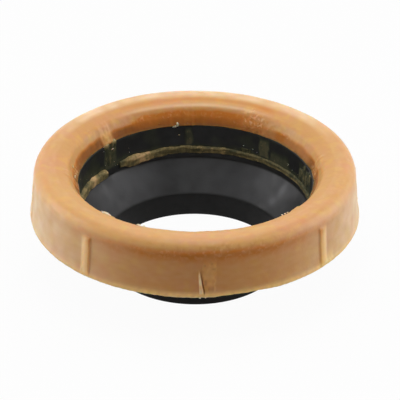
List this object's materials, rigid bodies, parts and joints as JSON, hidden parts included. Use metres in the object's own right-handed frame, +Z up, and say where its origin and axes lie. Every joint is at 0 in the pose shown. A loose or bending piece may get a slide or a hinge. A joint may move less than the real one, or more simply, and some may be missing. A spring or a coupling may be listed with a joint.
{
  "type": "toilet wax ring with horn",
  "caption": "Wax sealing ring for a toilet pan outlet, cast round a black plastic sleeve that narrows into the drain pipe.",
  "frame": {"origin": "middle of the horn's bottom rim, on the surface that the part stands on", "axes": "+Z up the middle of the bore, from the horn's rim to the wax crown; -Y towards the front, where the wall is split"},
  "size_m": [0.137, 0.137, 0.047],
  "materials": {
    "amber_wax": "soft waxy satin, slightly translucent, mottled tan",
    "black_plastic": "smooth satin moulded plastic"
  },
  "bodies": {
    "root": {"wax_ring": "amber_wax", "horn": "black_plastic"}
  },
  "joints": []
}
